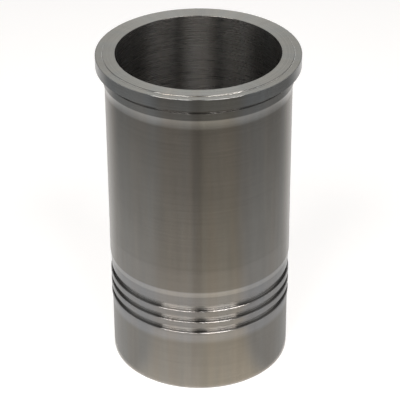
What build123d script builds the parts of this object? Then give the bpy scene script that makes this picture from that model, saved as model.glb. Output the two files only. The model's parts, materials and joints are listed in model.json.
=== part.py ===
from build123d import *
import os

# Wet cylinder liner of a heavy-duty diesel engine, turned from one iron casting. All sizes are in
# millimetres. The origin is on the axis at the lower end face, and +Z points up to the flange.
# Radial sizes are wall thicknesses outside the bore, so every diameter follows a change of bore.

# Bore and length
bore_diameter = 120.65
overall_height = 251.3  # lower end face to the sealing face
bore_top_break = 0.2  # chamfer at the mouth of the bore
bore_bottom_break = 1.0

# Flange, measured down from the sealing face
flange_wall = 14.4
flange_thickness = 9.4  # sealing face to seat
sealing_land_wall = 9.2
sealing_land_height = 0.45  # the raised ring stands this far above the rim of the flange
sealing_land_edge_radius = 0.3
flange_edge_radius = 0.3
flange_seat_break = 0.35

# Relief under the flange, so that a seat's sharp edge clears the corner
relief_width = 4.6
relief_depth = 1.2  # below the upper pilot
relief_corner_radius = 0.2

# Upper pilot, and the hollow taper from it down to the barrel
pilot_wall = 9.3
pilot_length = 5.6
pilot_edge_radius = 0.3
pilot_taper_length = 8.0

# Barrel, with a slightly fuller band at its lower end
barrel_wall = 8.1
band_wall = 8.2
band_length = 15.6
band_step_length = 3.0
band_taper_length = 4.7  # from the band in to the neck

# Neck above the packing belt, which narrows towards the first groove
neck_top_wall = 7.7
neck_bottom_wall = 7.3
neck_length = 7.8

# Packing belt: ring grooves cut into a land, measured up from the lower end face
belt_bottom = 49.5
belt_wall = 8.0
lowest_land_length = 2.2
groove_count = 3
groove_width = 4.6
groove_depth = 2.8  # below the belt's land
groove_pitch = 9.6
groove_corner_radius = 0.25
groove_lip_radius = 0.5

# Skirt, below the belt
skirt_wall = 7.35
skirt_taper_length = 9.0  # from the belt in to the skirt
skirt_bottom_break = 0.5

# Radii
bore_radius = bore_diameter / 2
flange_radius = bore_radius + flange_wall
sealing_land_radius = bore_radius + sealing_land_wall
pilot_radius = bore_radius + pilot_wall
relief_radius = pilot_radius - relief_depth
barrel_radius = bore_radius + barrel_wall
band_radius = bore_radius + band_wall
neck_top_radius = bore_radius + neck_top_wall
neck_bottom_radius = bore_radius + neck_bottom_wall
belt_radius = bore_radius + belt_wall
skirt_radius = bore_radius + skirt_wall

# Heights, from the top down and from the bottom up
rim_z = overall_height - sealing_land_height
seat_z = overall_height - flange_thickness
pilot_top_z = seat_z - relief_width
pilot_bottom_z = pilot_top_z - pilot_length
barrel_top_z = pilot_bottom_z - pilot_taper_length
skirt_top_z = belt_bottom - skirt_taper_length
lowest_groove_bottom = belt_bottom + lowest_land_length
top_groove_top = lowest_groove_bottom + (groove_count - 1) * groove_pitch + groove_width
grooves_middle = (lowest_groove_bottom + top_groove_top) / 2
neck_top_z = top_groove_top + neck_length
band_bottom_z = neck_top_z + band_taper_length
band_top_z = band_bottom_z + band_length
barrel_bottom_z = band_top_z + band_step_length

# How far a corner may lie from its nominal place and still be picked
pick = 0.01


def corners_at(corners, radius, z):
    """The corners of a sketch that lie at one radius and height."""
    near = corners.filter_by_position(Axis.X, radius - pick, radius + pick)
    return near.filter_by_position(Axis.Y, z - pick, z + pick)


with BuildPart() as cylinder_liner:
    # Half of the section: X is the radius and Y is the height.
    with BuildSketch(Plane.XZ) as section:
        with BuildLine():
            Polyline(
                (bore_radius, 0),
                (skirt_radius, 0),
                (skirt_radius, skirt_top_z),
            )
            TangentArc((skirt_radius, skirt_top_z), (belt_radius, belt_bottom), tangent=(0, 1))
            Polyline(
                (belt_radius, belt_bottom),
                (belt_radius, top_groove_top - groove_width / 2),
                (neck_bottom_radius, top_groove_top - groove_width / 2),
                (neck_bottom_radius, top_groove_top),
                (neck_top_radius, neck_top_z),
            )
            TangentArc(
                (neck_top_radius, neck_top_z),
                (band_radius, band_bottom_z),
                tangent=(neck_top_radius - neck_bottom_radius, neck_length),
            )
            Polyline(
                (band_radius, band_bottom_z),
                (band_radius, band_top_z),
                (barrel_radius, barrel_bottom_z),
                (barrel_radius, barrel_top_z),
            )
            TangentArc((barrel_radius, barrel_top_z), (pilot_radius, pilot_bottom_z), tangent=(0, 1))
            Polyline(
                (pilot_radius, pilot_bottom_z),
                (pilot_radius, pilot_top_z),
                (relief_radius, pilot_top_z),
                (relief_radius, seat_z),
                (flange_radius, seat_z),
                (flange_radius, rim_z),
                (sealing_land_radius, rim_z),
                (sealing_land_radius, overall_height),
                (bore_radius, overall_height),
                (bore_radius, 0),
            )
        make_face()

        # Packing grooves. Their floor is one cylinder, and they run out past the belt.
        with Locations((belt_radius, grooves_middle)):
            with GridLocations(1, groove_pitch, 1, groove_count):
                Rectangle(2 * groove_depth, groove_width, mode=Mode.SUBTRACT)

        # Rounded corners and lips of each groove. The top lip of the first groove is on the neck.
        for index in range(groove_count):
            groove_bottom = lowest_groove_bottom + index * groove_pitch
            groove_top = groove_bottom + groove_width
            is_first = index == groove_count - 1
            top_lip_radius = neck_bottom_radius if is_first else belt_radius
            floor_corners = corners_at(vertices(), belt_radius - groove_depth, groove_bottom)
            floor_corners += corners_at(vertices(), belt_radius - groove_depth, groove_top)
            fillet(floor_corners, radius=groove_corner_radius)
            lips = corners_at(vertices(), belt_radius, groove_bottom)
            lips += corners_at(vertices(), top_lip_radius, groove_top)
            fillet(lips, radius=groove_lip_radius)

        # Corners of the relief
        relief_corners = corners_at(vertices(), relief_radius, pilot_top_z)
        relief_corners += corners_at(vertices(), relief_radius, seat_z)
        fillet(relief_corners, radius=relief_corner_radius)

        # Rounded edges
        fillet(corners_at(vertices(), pilot_radius, pilot_top_z), radius=pilot_edge_radius)
        fillet(corners_at(vertices(), flange_radius, rim_z), radius=flange_edge_radius)
        fillet(
            corners_at(vertices(), sealing_land_radius, overall_height),
            radius=sealing_land_edge_radius,
        )

        # Broken edges
        chamfer(corners_at(vertices(), flange_radius, seat_z), length=flange_seat_break)
        chamfer(corners_at(vertices(), bore_radius, overall_height), length=bore_top_break)
        chamfer(corners_at(vertices(), bore_radius, 0), length=bore_bottom_break)
        chamfer(corners_at(vertices(), skirt_radius, 0), length=skirt_bottom_break)
    revolve(axis=Axis.Z)

cylinder_liner.part.label = "cylinder_liner"
os.makedirs("parts", exist_ok=True)
export_step(cylinder_liner.part, "parts/cylinder_liner.step")
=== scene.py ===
import functools
import json
import math
from types import SimpleNamespace

import bpy
from mathutils import Matrix, Vector

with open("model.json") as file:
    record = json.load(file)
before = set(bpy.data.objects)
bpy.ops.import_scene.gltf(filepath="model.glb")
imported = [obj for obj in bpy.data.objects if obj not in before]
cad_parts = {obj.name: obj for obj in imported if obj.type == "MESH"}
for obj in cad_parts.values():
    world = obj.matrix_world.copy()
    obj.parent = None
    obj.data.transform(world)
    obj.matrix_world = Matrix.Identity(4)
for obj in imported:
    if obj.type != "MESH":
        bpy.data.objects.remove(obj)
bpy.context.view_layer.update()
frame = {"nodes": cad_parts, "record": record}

# ================================================================ sizes of the liner
# These are in millimetres. The studio, further down, is in metres, as the frame is.
MM = 1000.0  # millimetres in a metre


def mount(name):
    """A mating place of the liner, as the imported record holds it."""
    return next(m for m in frame["record"]["mounts"] if m["name"] == name)


def mount_radius(name):
    return mount(name)["dims"]["r_mm"]


def mount_height(name):
    return mount(name)["pos_m"][2] * MM


# Sizes that no mount holds, with the values of the part's source
SEALING_RING_WALL = 9.2
SEALING_RING_HEIGHT = 0.45
RELIEF_WIDTH = 4.6
PILOT_LENGTH = 5.6
PILOT_TAPER_LENGTH = 8.0
BAND_LENGTH = 15.6
BAND_STEP_LENGTH = 3.0
BAND_TAPER_LENGTH = 4.7
NECK_LENGTH = 7.8
LOWEST_LAND_LENGTH = 2.2
GROOVE_WIDTH = 4.6
GROOVE_DEPTH = 2.8
GROOVE_LIP = 0.5
SKIRT_TAPER_LENGTH = 9.0

# Radii
BORE_R = mount_radius("bore")
FLANGE_R = mount_radius("flange_rim")
PILOT_R = mount_radius("upper_pilot")
BELT_R = mount_radius("packing_land_lower")
GROOVE_R = BELT_R - GROOVE_DEPTH
SEALING_RING_R = BORE_R + SEALING_RING_WALL

# Heights above the lower end, from the top down to the barrel
RIM_Z = mount_height("sealing_face") - SEALING_RING_HEIGHT
SEAT_Z = mount_height("flange_seat")
PILOT_TOP_Z = SEAT_Z - RELIEF_WIDTH
PILOT_BOTTOM_Z = PILOT_TOP_Z - PILOT_LENGTH
BARREL_TOP_Z = PILOT_BOTTOM_Z - PILOT_TAPER_LENGTH

# Heights from the packing belt up to the barrel, and down to the skirt
GROOVE_PITCH = mount_height("packing_groove_middle") - mount_height("packing_groove_lowest")
LOWEST_GROOVE_Z = mount_height("packing_groove_lowest") - GROOVE_WIDTH / 2
BELT_BOTTOM_Z = LOWEST_GROOVE_Z - LOWEST_LAND_LENGTH
BELT_TOP_Z = mount_height("packing_groove_top") + GROOVE_WIDTH / 2
NECK_TOP_Z = BELT_TOP_Z + NECK_LENGTH
BAND_BOTTOM_Z = NECK_TOP_Z + BAND_TAPER_LENGTH
BAND_TOP_Z = BAND_BOTTOM_Z + BAND_LENGTH + BAND_STEP_LENGTH
SKIRT_TOP_Z = BELT_BOTTOM_Z - SKIRT_TAPER_LENGTH

# ================================================================ finishes of the iron
# Linear red, green and blue. They were tuned against the photograph, and some of them are painted
# light and shade, as marked below.
COLOUR = SimpleNamespace(
    barrel=(0.325, 0.310, 0.288),
    ground=(0.354, 0.353, 0.346),
    flange=(0.372, 0.379, 0.380),
    top=(0.316, 0.311, 0.288),
    # Painted shade in the undercut under the flange, darker than the ground lands round it
    relief_painted_shade=(0.280, 0.276, 0.272),
    hollow=(0.410, 0.402, 0.388),
    band=(0.355, 0.338, 0.316),
    # A painted highlight: the taper under the band is lighter than the iron round it
    taper=(0.510, 0.500, 0.492),
    belt=(0.392, 0.387, 0.389),
    # Painted light high in the packing grooves, painted shade low in them, and darker painted shade
    # on the flat face at their foot
    groove_painted_light=(0.460, 0.455, 0.450),
    groove_painted_shade=(0.320, 0.316, 0.311),
    ledge_painted_shade=(0.225, 0.222, 0.219),
    # Painted light: the foot of the sealing ring is lighter than the iron round it
    ring_foot_painted_light=(0.850, 0.845, 0.830),
    # Painted shade that dims the highlight on the rounded edges of the sealing ring and the pilot
    edge_painted_shade=(0.150, 0.148, 0.144),
    bore=(0.207, 0.204, 0.200),
    cool_tint=(0.985, 1.0, 1.008),
    warm_tint=(1.015, 1.0, 0.98),
)
ROUGHNESS = SimpleNamespace(
    barrel=0.18, ground=0.15, top=0.19, bore=0.275, groove=0.27, polished=0.09, edge=0.26
)

# Where a finish starts to come or go and where it is done, in millimetres past its size
FADE = SimpleNamespace(
    bore=(0.02, 0.06),
    rim=(-0.2, -0.1),
    flange=(-0.2, 0.0),
    ground=(0.0, 6.0),
    behind_pilot=(-0.4, -0.3),
    over_skirt=(0.0, 5.0),
    under_band=(-0.4, 0.0),
    behind_lips=(2.1, 2.5),
    # where the painted shade low in a packing groove sets in
    groove_painted_shade=(0.3, 2.0),
    ring_edge=(0.1, 0.2),
)
# The same by how far up a face looks, as the upward part of its normal
LOOKS_UP = SimpleNamespace(
    level=(0.9, 0.99), ledge_painted_shade=(0.5, 0.9), edge_starts=(0.12, 0.25), edge_ends=(0.90, 0.97)
)
# Millimetres added to the lower and the upper end of a narrow finish
PAST = SimpleNamespace(
    hollow=(1.0, 0.0),
    relief_painted_shade=(-0.15, 0.1),
    taper=(0.0, -0.8),
    pilot_edge=(-0.4, 0.1),
    foot_radius=(-0.1, 0.15),
    foot_height=(-0.15, 0.15),
)

HONE_LAY = math.radians(18.5)  # of the hone's lines, from level
HONE_PER_METRE = 600.0  # how fast the hone's noise changes across its lines
HONE_PER_MM_UP = 0.05  # and along them
LAY_CELLS_PER_METRE = 9000.0  # cells of the bore that take one of the hone's two directions
LEFT_HANDED_SHARE = 0.53  # of those cells; the lines of the rest are right handed
QUARTER_TURN = 0.25  # a lay smears reflections across itself, and the shader along its tangent
SECTION_SHEAR = 0.618  # mixes radius into height, so that flat faces get rings too
HUE_CHANGE = (0.35, 0.65)  # of the hue noise, from the cool tint to the warm one
BUMP_STRENGTH = 0.12
BUMP_HEIGHT = 0.00002  # in metres


class Graph:
    """Short ways to add nodes to one node tree."""

    MIX_SOCKETS = {"FLOAT": (2, 3, 0), "RGBA": (6, 7, 2)}  # two inputs and the output

    def __init__(self, tree):
        self.nodes = tree.nodes
        self.links = tree.links
        self.nodes.clear()

    def put(self, socket, value):
        """Links a socket to another one, or sets its value. A colour comes without its alpha."""
        if isinstance(value, bpy.types.NodeSocket):
            self.links.new(value, socket)
        elif socket.type == "RGBA":
            socket.default_value = (*value, 1.0)
        else:
            socket.default_value = value

    def node(self, kind, inputs=None, out=0, **settings):
        """Adds a node and returns one of its outputs, or the node itself where out is None."""
        made = self.nodes.new("ShaderNode" + kind)
        for name, value in settings.items():
            setattr(made, name, value)
        for name, value in (inputs or {}).items():
            self.put(made.inputs[name], value)
        return made if out is None else made.outputs[out]

    def math(self, operation, *values):
        return self.node("Math", dict(enumerate(values)), operation=operation)

    def chain(self, operation, values):
        """One operation on several values, from left to right."""
        return functools.reduce(functools.partial(self.math, operation), values)

    def add(self, *values):
        return self.chain("ADD", values)

    def mul(self, *values):
        return self.chain("MULTIPLY", values)

    def either(self, *values):
        return self.chain("MAXIMUM", values)

    def without(self, a, b):
        """a where b isn't."""
        return self.mul(a, self.math("SUBTRACT", 1.0, b))

    def vector_math(self, operation, *vectors, **inputs):
        return self.node("VectorMath", {**dict(enumerate(vectors)), **inputs}, operation=operation)

    def vector(self, x, y, z):
        return self.node("CombineXYZ", {"X": x, "Y": y, "Z": z})

    def split(self, vector):
        return self.node("SeparateXYZ", {"Vector": vector}, out=None).outputs

    def span(self, value, reach, ends=(0.0, 1.0), shape="SMOOTHSTEP"):
        """Goes from the first of ends to the second as value goes over reach, low to high."""
        names = ("From Min", "From Max", "To Min", "To Max")
        inputs = {"Value": value, **dict(zip(names, (*reach, *ends)))}
        return self.node("MapRange", inputs, interpolation_type=shape)

    def rise(self, value, fade, size=0.0):
        """Goes from 0 to 1 over fade, which is counted from size."""
        return self.span(value, (size + fade[0], size + fade[1]))

    def fall(self, value, fade, size=0.0):
        """Goes from 1 to 0 over fade, which is counted from size."""
        return self.span(value, (size + fade[0], size + fade[1]), (1.0, 0.0))

    def between(self, value, low, high, soft, past=(0.0, 0.0)):
        """1 where value is between low and high, each moved by past and soft both ways."""
        both_ways = (-soft, soft)
        above = self.rise(value, both_ways, low + past[0])
        below = self.fall(value, both_ways, high + past[1])
        return self.mul(above, below)

    def swing(self, noise, spread, amount):
        """Goes from -amount to amount as noise goes from spread below 0.5 to spread above it."""
        return self.span(noise, (0.5 - spread, 0.5 + spread), (-amount, amount), shape="LINEAR")

    def noise(self, place, detail, roughness, socket="Vector", dimensions="3D"):
        inputs = {socket: place, "Scale": 1.0, "Detail": detail, "Roughness": roughness}
        return self.node("TexNoise", inputs, noise_dimensions=dimensions)

    def rings(self, along, per_mm, detail, roughness):
        """Noise that changes along the section only, so that it makes closed rings."""
        return self.noise(self.mul(along, per_mm), detail, roughness, socket="W", dimensions="1D")

    def mix(self, factor, a, b, kind="FLOAT"):
        first, second, result = self.MIX_SOCKETS[kind]
        inputs = {"Factor": factor, first: a, second: b}
        return self.node("Mix", inputs, out=result, data_type=kind)

    def blend(self, factor, a, b):
        return self.mix(factor, a, b, kind="RGBA")


def make_material(name):
    material = bpy.data.materials.new(name)
    material.use_nodes = True
    return material, Graph(material.node_tree)


# ================================================================ the iron
def point_on_liner(g):
    """Where a point of the surface is: x_m and y_m in metres, r, z and along in millimetres."""
    place = g.node("TexCoord", out="Object")
    x_m, y_m, z_m = g.split(place)
    radius_m = g.math("SQRT", g.add(g.mul(x_m, x_m), g.mul(y_m, y_m)))
    r = g.mul(radius_m, MM)
    z = g.mul(z_m, MM)
    return SimpleNamespace(
        place=place,
        x_m=x_m,
        y_m=y_m,
        around_x=g.math("DIVIDE", x_m, radius_m),
        around_y=g.math("DIVIDE", y_m, radius_m),
        r=r,
        z=z,
        along=g.add(z, g.mul(r, SECTION_SHEAR)),
        up=g.split(g.node("NewGeometry", out="True Normal"))["Z"],
    )


def mark_top(g, at, on):
    """The flange, the ground lands and the hollow taper, from the sealing ring down."""
    top = g.mul(g.rise(at.up, LOOKS_UP.level), g.rise(at.z, FADE.rim, RIM_Z))
    on.top = g.without(top, on.bore)
    on.flange = g.without(g.rise(at.z, FADE.flange, SEAT_Z), on.bore)
    on.ground = g.without(g.rise(at.z, FADE.ground, BARREL_TOP_Z), on.bore)
    hollow = g.between(at.z, BARREL_TOP_Z, PILOT_BOTTOM_Z, soft=1.0, past=PAST.hollow)
    on.hollow = g.without(hollow, on.bore)
    # painted shade in the undercut under the flange
    behind_pilot = g.fall(at.r, FADE.behind_pilot, PILOT_R)
    relief_height = g.between(at.z, PILOT_TOP_Z, SEAT_Z, soft=0.05, past=PAST.relief_painted_shade)
    on.relief_painted_shade = g.without(g.mul(behind_pilot, relief_height), on.bore)


def mark_bottom(g, at, on):
    """The band, the taper under it and the packing belt."""
    on.band = g.without(g.between(at.z, BAND_BOTTOM_Z, BAND_TOP_Z, soft=0.3), on.bore)
    # the taper under the band, lighter as a painted highlight
    taper = g.between(at.z, NECK_TOP_Z, BAND_BOTTOM_Z, soft=0.6, past=PAST.taper)
    on.taper = g.without(taper, on.bore)
    over_skirt = g.rise(at.z, FADE.over_skirt, SKIRT_TOP_Z)
    under_band = g.fall(at.z, FADE.under_band, BAND_BOTTOM_Z)
    on.belt = g.without(g.mul(over_skirt, under_band), on.bore)


def mark_grooves(g, at, on):
    """The packing grooves, how low in one a point is, and the flat face at its foot; they carry
    painted light high in a groove and painted shade low in it, darkest on that flat face.
    """
    behind_lips = g.fall(at.r, FADE.behind_lips, GROOVE_R)
    belt_height = g.between(at.z, BELT_BOTTOM_Z, BELT_TOP_Z, soft=0.2)
    on.grooves = g.without(g.mul(behind_lips, belt_height), on.bore)
    over_lowest_lip = g.math("SUBTRACT", at.z, LOWEST_GROOVE_Z - GROOVE_LIP)
    over_lip = g.math("FLOORED_MODULO", over_lowest_lip, GROOVE_PITCH)
    on.groove_painted_shade = g.fall(g.math("SUBTRACT", over_lip, GROOVE_LIP), FADE.groove_painted_shade)
    on.ledge_painted_shade = g.mul(on.grooves, g.rise(at.up, LOOKS_UP.ledge_painted_shade))


def mark_edges(g, at, on):
    """Rounded edges that look up, painted shade on some of them that dims their highlight, and
    painted light at the foot of the sealing ring.
    """
    on.edge = g.mul(g.rise(at.up, LOOKS_UP.edge_starts), g.fall(at.up, LOOKS_UP.edge_ends))
    # painted shade on the sealing ring's and the pilot's rounded edges, dimming their highlight
    ring_edge = g.rise(at.z, FADE.ring_edge, RIM_Z)
    pilot_edge = g.between(at.z, PILOT_TOP_Z, PILOT_TOP_Z, soft=0.1, past=PAST.pilot_edge)
    on.edge_painted_shade = g.without(g.mul(on.edge, g.either(ring_edge, pilot_edge)), on.bore)
    # painted light at the foot of the sealing ring
    foot_r = g.between(at.r, SEALING_RING_R, SEALING_RING_R, soft=0.05, past=PAST.foot_radius)
    foot_z = g.between(at.z, RIM_Z, RIM_Z, soft=0.05, past=PAST.foot_height)
    on.ring_foot_painted_light = g.mul(foot_r, foot_z)


def mark_regions(g, at):
    """Where each finish is: 1 on it and 0 off it, with a soft edge."""
    on = SimpleNamespace(bore=g.fall(at.r, FADE.bore, BORE_R))
    mark_top(g, at, on)
    mark_bottom(g, at, on)
    mark_grooves(g, at, on)
    mark_edges(g, at, on)
    return on


def hone_lines(g, at, hand):
    """Noise drawn out along a helix round the bore, right or left handed."""
    turn = g.mul(at.z, hand / (BORE_R * math.tan(HONE_LAY)))
    sine, cosine = g.math("SINE", turn), g.math("COSINE", turn)
    turned_x = g.math("SUBTRACT", g.mul(at.x_m, cosine), g.mul(at.y_m, sine))
    turned_y = g.add(g.mul(at.x_m, sine), g.mul(at.y_m, cosine))
    across_x, across_y = (g.mul(turned, HONE_PER_METRE) for turned in (turned_x, turned_y))
    place = g.vector(across_x, across_y, g.mul(at.z, HONE_PER_MM_UP))
    return g.noise(place, detail=2.0, roughness=0.6)


def wall_noise(g, at, around, height, per_mm, detail, roughness):
    """Noise that changes about `around` times a radian, and per_mm times a millimetre of height."""
    x, y = g.mul(at.around_x, around), g.mul(at.around_y, around)
    return g.noise(g.vector(x, y, g.mul(height, per_mm)), detail, roughness)


def make_patterns(g, at):
    """The marks of the tools and of storage, each a noise about 0.5."""
    both_strokes = g.add(hone_lines(g, at, 1.0), hone_lines(g, at, -1.0))
    return SimpleNamespace(
        fine_rings=g.rings(at.along, per_mm=3.2, detail=3.0, roughness=0.7),
        broad_rings=g.rings(at.along, per_mm=0.35, detail=2.0, roughness=0.5),
        facing_rings=g.rings(at.r, per_mm=1.1, detail=2.0, roughness=0.6),
        marks=wall_noise(g, at, 1.3, at.along, per_mm=1.1, detail=3.0, roughness=0.65),
        stains=wall_noise(g, at, 12.0, at.z, per_mm=0.012, detail=3.0, roughness=0.6),
        cloud=wall_noise(g, at, 2.5, at.z, per_mm=0.03, detail=3.0, roughness=0.5),
        hue=wall_noise(g, at, 7.0, at.z, per_mm=0.006, detail=2.0, roughness=0.5),
        hone=g.mul(both_strokes, 0.5),
    )


def finish_colour(g, on):
    """The colour of each finish, laid over the barrel's in turn; some of them are painted light and
    some painted shade.
    """
    # painted shading in the grooves: painted light high up, painted shade low down and on the flat
    # face at their foot
    floor = g.blend(on.groove_painted_shade, COLOUR.groove_painted_light, COLOUR.groove_painted_shade)
    layers = (
        (on.ground, COLOUR.ground),
        (on.flange, COLOUR.flange),
        (on.belt, COLOUR.belt),
        (on.taper, COLOUR.taper),
        (on.hollow, COLOUR.hollow),
        (on.top, COLOUR.top),
        (on.grooves, g.blend(on.ledge_painted_shade, floor, COLOUR.ledge_painted_shade)),
        (on.relief_painted_shade, COLOUR.relief_painted_shade),
        (on.ring_foot_painted_light, COLOUR.ring_foot_painted_light),
        (on.band, COLOUR.band),
        (on.bore, COLOUR.bore),
        (on.edge_painted_shade, COLOUR.edge_painted_shade),
    )
    colour = COLOUR.barrel
    for region, finish in layers:
        colour = g.blend(region, colour, finish)
    return colour


def marked_colour(g, on, patterns):
    """The finishes with their stains and marks: a slight tint, then lighter and darker tones."""
    hue = g.rise(patterns.hue, HUE_CHANGE)
    tint = g.blend(hue, COLOUR.cool_tint, COLOUR.warm_tint)
    colour = g.vector_math("MULTIPLY", finish_colour(g, on), tint)
    tone = g.add(
        g.swing(patterns.marks, spread=0.25, amount=0.055),
        g.swing(patterns.broad_rings, spread=0.2, amount=0.012),
        g.swing(patterns.stains, spread=0.2, amount=0.045),
        g.swing(patterns.cloud, spread=0.2, amount=0.03),
        g.mul(on.bore, g.swing(patterns.hone, spread=0.2, amount=0.07)),
        g.mul(on.top, g.swing(patterns.facing_rings, spread=0.2, amount=0.07)),
    )
    return g.vector_math("SCALE", colour, Scale=g.add(tone, 1.0))


def finish_roughness(g, on, patterns):
    """The roughness of each finish, laid over the barrel's in turn, and slightly uneven."""
    layers = (
        (on.ground, ROUGHNESS.ground),
        (on.top, ROUGHNESS.top),
        (on.bore, ROUGHNESS.bore),
        (on.grooves, ROUGHNESS.groove),
        (g.either(on.ledge_painted_shade, on.relief_painted_shade, on.ring_foot_painted_light), ROUGHNESS.polished),
        (on.edge, ROUGHNESS.edge),
    )
    roughness = ROUGHNESS.barrel
    for region, finish in layers:
        roughness = g.mix(region, roughness, finish)
    return g.add(roughness, g.swing(patterns.marks, spread=0.2, amount=0.02))


def lay_direction(g, at, on):
    """The way the tool marks run: round the axis, and crossed in the honed bore.

    The bore is split into tiny cells, and chance says which way the lines of each one climb.
    """
    cell = g.vector_math("FLOOR", g.vector_math("SCALE", at.place, Scale=LAY_CELLS_PER_METRE))
    chance = g.node("TexWhiteNoise", {"Vector": cell}, noise_dimensions="3D")
    right_handed = g.math("GREATER_THAN", chance, LEFT_HANDED_SHARE)
    left_handed = g.math("LESS_THAN", chance, LEFT_HANDED_SHARE)
    crossed = g.math("SUBTRACT", right_handed, left_handed)
    slant = g.mul(crossed, on.bore, math.tan(HONE_LAY))
    return g.vector(g.mul(at.around_y, -1.0), at.around_x, slant)


def machined_iron():
    material, g = make_material("machined_iron")
    at = point_on_liner(g)
    on = mark_regions(g, at)
    patterns = make_patterns(g, at)
    grain = {"Strength": BUMP_STRENGTH, "Distance": BUMP_HEIGHT, "Height": patterns.fine_rings}
    iron = {
        "Base Color": marked_colour(g, on, patterns),
        "Metallic": 1.0,
        "Roughness": finish_roughness(g, on, patterns),
        "Anisotropic": 1.0,
        "Anisotropic Rotation": QUARTER_TURN,
        "Tangent": lay_direction(g, at, on),
        "Normal": g.node("Bump", grain),
    }
    g.node("OutputMaterial", {"Surface": g.node("BsdfPrincipled", iron)}, out=None)
    return material


# ================================================================ the studio, in metres
# The camera stands in front of the object, on the side of -Y, and +X is at its right.
FLOOR_R = 12.0
FLOOR_DROP = 0.0001  # under the liner's lower end, so that the two faces don't fight
FLOOR_PALE = (0.60, 0.60, 0.60)
# The glow is low inside the liner: painted shade on the floor under the bore
FLOOR_GLOW = (0.10, 0.58)  # inside the liner and outside it
FLOOR_CHANGE = (2.675, 5.675)  # millimetres outside the bore, hidden under the liner's wall
FLOOR_CHANGE_R = tuple((BORE_R + outside) / MM for outside in FLOOR_CHANGE)

CARD_CLEARANCE = 0.675  # millimetres outside the liner's packing lands
FLOOR_CARD_R = ((BELT_R + CARD_CLEARANCE) / MM, 3.0)
FLOOR_CARD_Z = 0.0004
FLOOR_CARD_START_R = 0.08  # where its brightness is counted from
FLOOR_GAP_R = (0.09, 0.22)  # where the dark gap in front starts to deepen, and is deepest
WALL_CARD_R = 2.6
WALL_CARD_HEIGHT = 3.3
RING_STEPS = 128
WALL_STEPS = 96

CARD_NEUTRAL = (1.0, 0.995, 0.985)
CARD_WARM_LEFT = (1.0, 0.95, 0.88)
CARD_WARM_RIGHT = (1.0, 0.925, 0.80)

# Directions from the axis. As front they go from -1 behind to 1 at the camera's side, and as
# side from -1 at the left to 1 at the right.
WARM_FRONT = (0.6, 0.8)
WARM_SIDE = (-0.1, 0.1)
GAP_FRONT = (0.5, 0.6)
GAP_SIDE = (-0.14, 0.05)
AHEAD_FRONT = (0.55, 0.8)
FAR_RIGHT_SIDE = (0.55, 0.85)
FLOOR_CARD_BACK = (-0.95, -0.3)
WALL_CARD_FRONT = (0.25, 0.6)
WALL_CARD_BACK = (-0.5, -0.2)
WALL_CARD_OPENING = (-0.9986, -0.9877)

# Brightness or thickness of the cards, or the share of it that is left. A pair holds the values
# at the two ends of such a reach.
FLOOR_CARD_MOST_BESIDE = 0.60
FLOOR_CARD_LEAST = 0.06
FLOOR_CARD_FAR_RIGHT = (1.0, 0.87)
FLOOR_CARD_THICKNESS = (0.4, 1.0)
FLOOR_GAP_SHARE = (0.98, 0.84)
WALL_GAP_SHARE = 0.65
WALL_TO_FRONT = (0.75, 0.40)
WALL_TO_BACK = (0.5, 1.0)

LAMP_COLOUR = (1.0, 0.94, 0.89)
LAMP_AIM = Vector((0, 0, 0.13))
LAMP_ELEVATION = 49  # degrees
LAMP_DISTANCE = 1.15
LAMP_HEIGHT = 0.50
# Name, degrees round from the front towards the right, width, and power in watts
LAMPS = (("lamp_left", -33, 0.68, 11.0), ("lamp_right", 32, 0.64, 10.0))

WHITE = (1.0, 1.0, 1.0)
SKY_FILL = 0.22  # what the world gives as light
SKY_SEEN = (1.0, 0.12)  # what it shows low down, and high up
SKY_CHANGE = (0.58, 0.78)  # the upward part of the direction where that changes


def shown_ray(g):
    """1 for rays that show a surface: to the camera, in a mirror or through glass."""
    path = g.node("LightPath", out=None).outputs
    return g.either(*(path[f"Is {kind} Ray"] for kind in ("Camera", "Glossy", "Transmission")))


def ways(g):
    """Distance from the axis; front, 1 at the camera's side and -1 behind; side, 1 at the right."""
    x, y, _ = g.split(g.node("TexCoord", out="Object"))
    distance = g.math("SQRT", g.add(g.mul(x, x), g.mul(y, y)))
    front = g.math("DIVIDE", g.mul(y, -1.0), distance)
    side = g.math("DIVIDE", x, distance)
    return distance, front, side


def floor_material():
    """Pale and matt, with a glow for the rays that show a surface and for no others; the glow is
    low inside the liner, which is painted shade.
    """
    material, g = make_material("pale_floor")
    distance, _, _ = ways(g)
    # painted shade: the glow drops inside the liner
    level = g.span(distance, FLOOR_CHANGE_R, FLOOR_GLOW)
    pale = g.node("BsdfDiffuse", {"Color": FLOOR_PALE})
    glow = g.node("Emission", {"Color": WHITE, "Strength": g.mul(shown_ray(g), level)})
    g.node("OutputMaterial", {"Surface": g.node("AddShader", {0: pale, 1: glow})}, out=None)
    return material


def camera_gap(g, front, side):
    """1 in the dark gap between the reflections of the two lamps, straight in front."""
    return g.mul(g.between(side, *GAP_SIDE, soft=0.05), g.rise(front, GAP_FRONT))


def card_colour(g, front, side):
    """Warm in front of the object, most of all to the right, and neutral beside it."""
    warm = g.blend(g.rise(side, WARM_SIDE), CARD_WARM_LEFT, CARD_WARM_RIGHT)
    return g.blend(g.rise(front, WARM_FRONT), CARD_NEUTRAL, warm)


def finish_card(g, front, side, level, thickness):
    """Ends a card's tree: it glows at that level, and is clear where it has no thickness."""
    lit = g.node("Emission", {"Color": card_colour(g, front, side), "Strength": level})
    clear = g.node("BsdfTransparent")
    card = g.node("MixShader", {0: thickness, 1: clear, 2: lit})
    g.node("OutputMaterial", {"Surface": card}, out=None)


def graded(g, away, start, loss):
    """A level that is start at FLOOR_CARD_START_R, and loses as much with each factor of e."""
    return g.math("MULTIPLY_ADD", away, -loss, start)


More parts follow.
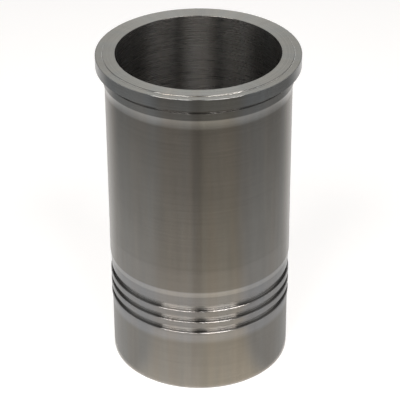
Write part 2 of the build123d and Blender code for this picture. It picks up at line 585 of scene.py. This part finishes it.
def floor_card_material():
    """A card that darkens away from the object, more so in front of it than beside it."""
    material, g = make_material("graded_card")
    distance, front, side = ways(g)
    away = g.math("LOGARITHM", g.math("DIVIDE", distance, FLOOR_CARD_START_R), math.e)
    near_ahead = graded(g, away, start=0.865, loss=0.345)
    far_ahead = graded(g, away, start=2.05, loss=0.98)
    ahead = g.math("MINIMUM", near_ahead, far_ahead)
    near_beside = graded(g, away, start=1.05, loss=0.41)
    beside = g.math("MINIMUM", near_beside, FLOOR_CARD_MOST_BESIDE)
    level = g.either(g.mix(g.rise(front, AHEAD_FRONT), beside, ahead), FLOOR_CARD_LEAST)
    gap_share = g.span(distance, FLOOR_GAP_R, FLOOR_GAP_SHARE)
    in_gap = g.span(camera_gap(g, front, side), (0, 1), (1.0, gap_share))
    far_right = g.span(side, FAR_RIGHT_SIDE, FLOOR_CARD_FAR_RIGHT)
    thickness = g.span(front, FLOOR_CARD_BACK, FLOOR_CARD_THICKNESS)
    finish_card(g, front, side, g.mul(level, in_gap, far_right), thickness)
    return material


def wall_card_material():
    """The dim room: brightest at the sides, darkest in the gap in front, open right behind."""
    material, g = make_material("dim_card")
    _, front, side = ways(g)
    to_front = g.span(front, WALL_CARD_FRONT, WALL_TO_FRONT)
    to_back = g.span(front, WALL_CARD_BACK, WALL_TO_BACK)
    in_gap = g.span(camera_gap(g, front, side), (0, 1), (1.0, WALL_GAP_SHARE))
    thickness = g.rise(front, WALL_CARD_OPENING)
    finish_card(g, front, side, g.mul(to_front, to_back, in_gap), thickness)
    return material


def circle(radius, z, steps):
    """Points round the axis, from +X on."""
    turns = [2 * math.pi * k / steps for k in range(steps)]
    return [(radius * math.cos(turn), radius * math.sin(turn), z) for turn in turns]


def faces_between(steps):
    """Faces from one circle of points to the next one."""
    ring = []
    for k in range(steps):
        n = (k + 1) % steps
        ring.append((k, n, steps + n, steps + k))
    return ring


def stage_piece(name, vertices, faces, material):
    """A mesh of the studio, which isn't part of the object."""
    mesh = bpy.data.meshes.new(name)
    mesh.from_pydata(vertices, [], faces)
    mesh.materials.append(material)
    made = bpy.data.objects.new(name, mesh)
    bpy.context.collection.objects.link(made)
    return made


def only_in_reflections(card):
    """Hides a card from every ray but those that metal reflects."""
    card.visible_camera = False
    card.visible_diffuse = False
    card.visible_transmission = False
    card.visible_volume_scatter = False
    card.visible_shadow = False


def make_floor():
    edge = circle(FLOOR_R, -FLOOR_DROP, RING_STEPS)
    stage_piece("floor", edge, [tuple(range(RING_STEPS))], floor_material())


def make_cards():
    """What the bare metal reflects of the table and of the room, in place of plain white."""
    inner, outer = (circle(radius, FLOOR_CARD_Z, RING_STEPS) for radius in FLOOR_CARD_R)
    floor_faces = faces_between(RING_STEPS)
    floor_card = stage_piece("graded_card", outer + inner, floor_faces, floor_card_material())
    foot, head = (circle(WALL_CARD_R, z, WALL_STEPS) for z in (0, WALL_CARD_HEIGHT))
    wall_faces = faces_between(WALL_STEPS)
    wall_card = stage_piece("surround", foot + head, wall_faces, wall_card_material())
    only_in_reflections(floor_card)
    only_in_reflections(wall_card)


def make_lamp(name, azimuth, width, power):
    """A soft lamp that looks at the object and doesn't show to the camera."""
    around, above = math.radians(azimuth), math.radians(LAMP_ELEVATION)
    level = math.cos(above)
    away = Vector((math.sin(around) * level, -math.cos(around) * level, math.sin(above)))
    data = bpy.data.lights.new(name, "AREA")
    data.shape = "RECTANGLE"
    data.size, data.size_y = width, LAMP_HEIGHT
    data.energy = power
    data.color = LAMP_COLOUR
    lamp = bpy.data.objects.new(name, data)
    lamp.location = LAMP_AIM + away * LAMP_DISTANCE
    lamp.rotation_mode = "QUATERNION"
    lamp.rotation_quaternion = away.to_track_quat("Z", "Y")
    lamp.visible_camera = False
    bpy.context.collection.objects.link(lamp)


def make_world():
    """White low down and dark above, where a ray shows it, and an even dim fill otherwise."""
    world = bpy.data.worlds.new("studio")
    world.use_nodes = True
    g = Graph(world.node_tree)
    upward = g.split(g.node("TexCoord", out="Generated"))["Z"]
    strength = g.mix(shown_ray(g), SKY_FILL, g.span(upward, SKY_CHANGE, SKY_SEEN))
    sky = g.node("Background", {"Color": WHITE, "Strength": strength})
    g.node("OutputWorld", {"Surface": sky}, out=None)
    bpy.context.scene.world = world


def make_camera():
    """The photograph's camera, found by fitting the ellipses of the object.

    The photograph holds no scale, so the fit gives the camera's place in radii of the flange.
    Its angles are in radians, and its focal length is in pixels of the photograph.
    """
    flange = FLANGE_R / MM
    height, back = 10.8958 * flange, 15.35904 * flange
    pitch, yaw, roll = 0.53984, 0.00042, -0.00625
    focal_px, photo_width_px = 1768.95, 400
    sensor_mm = 36.0
    level = math.cos(pitch)
    look = Vector((math.sin(yaw) * level, math.cos(yaw) * level, -math.sin(pitch)))
    level_right = look.cross(Vector((0, 0, 1))).normalized()
    level_up = level_right.cross(look)
    right = math.cos(roll) * level_right + math.sin(roll) * level_up
    up = math.cos(roll) * level_up - math.sin(roll) * level_right
    data = bpy.data.cameras.new("camera")
    data.sensor_width = sensor_mm
    data.lens = focal_px / photo_width_px * sensor_mm
    data.clip_start, data.clip_end = 0.05, 50
    camera = bpy.data.objects.new("camera", data)
    turn = Matrix((right, up, -look)).transposed()
    camera.matrix_world = Matrix.Translation((0, -back, height)) @ turn.to_4x4()
    bpy.context.collection.objects.link(camera)
    bpy.context.scene.camera = camera


def dress_liner():
    """The liner keeps its mesh and takes the iron in each of its slots."""
    iron = machined_iron()
    for slot in frame["nodes"]["cylinder_liner"].material_slots:
        slot.material = iron


dress_liner()
make_floor()
make_cards()
for lamp in LAMPS:
    make_lamp(*lamp)
make_world()
make_camera()
bpy.context.scene.view_settings.view_transform = "Standard"
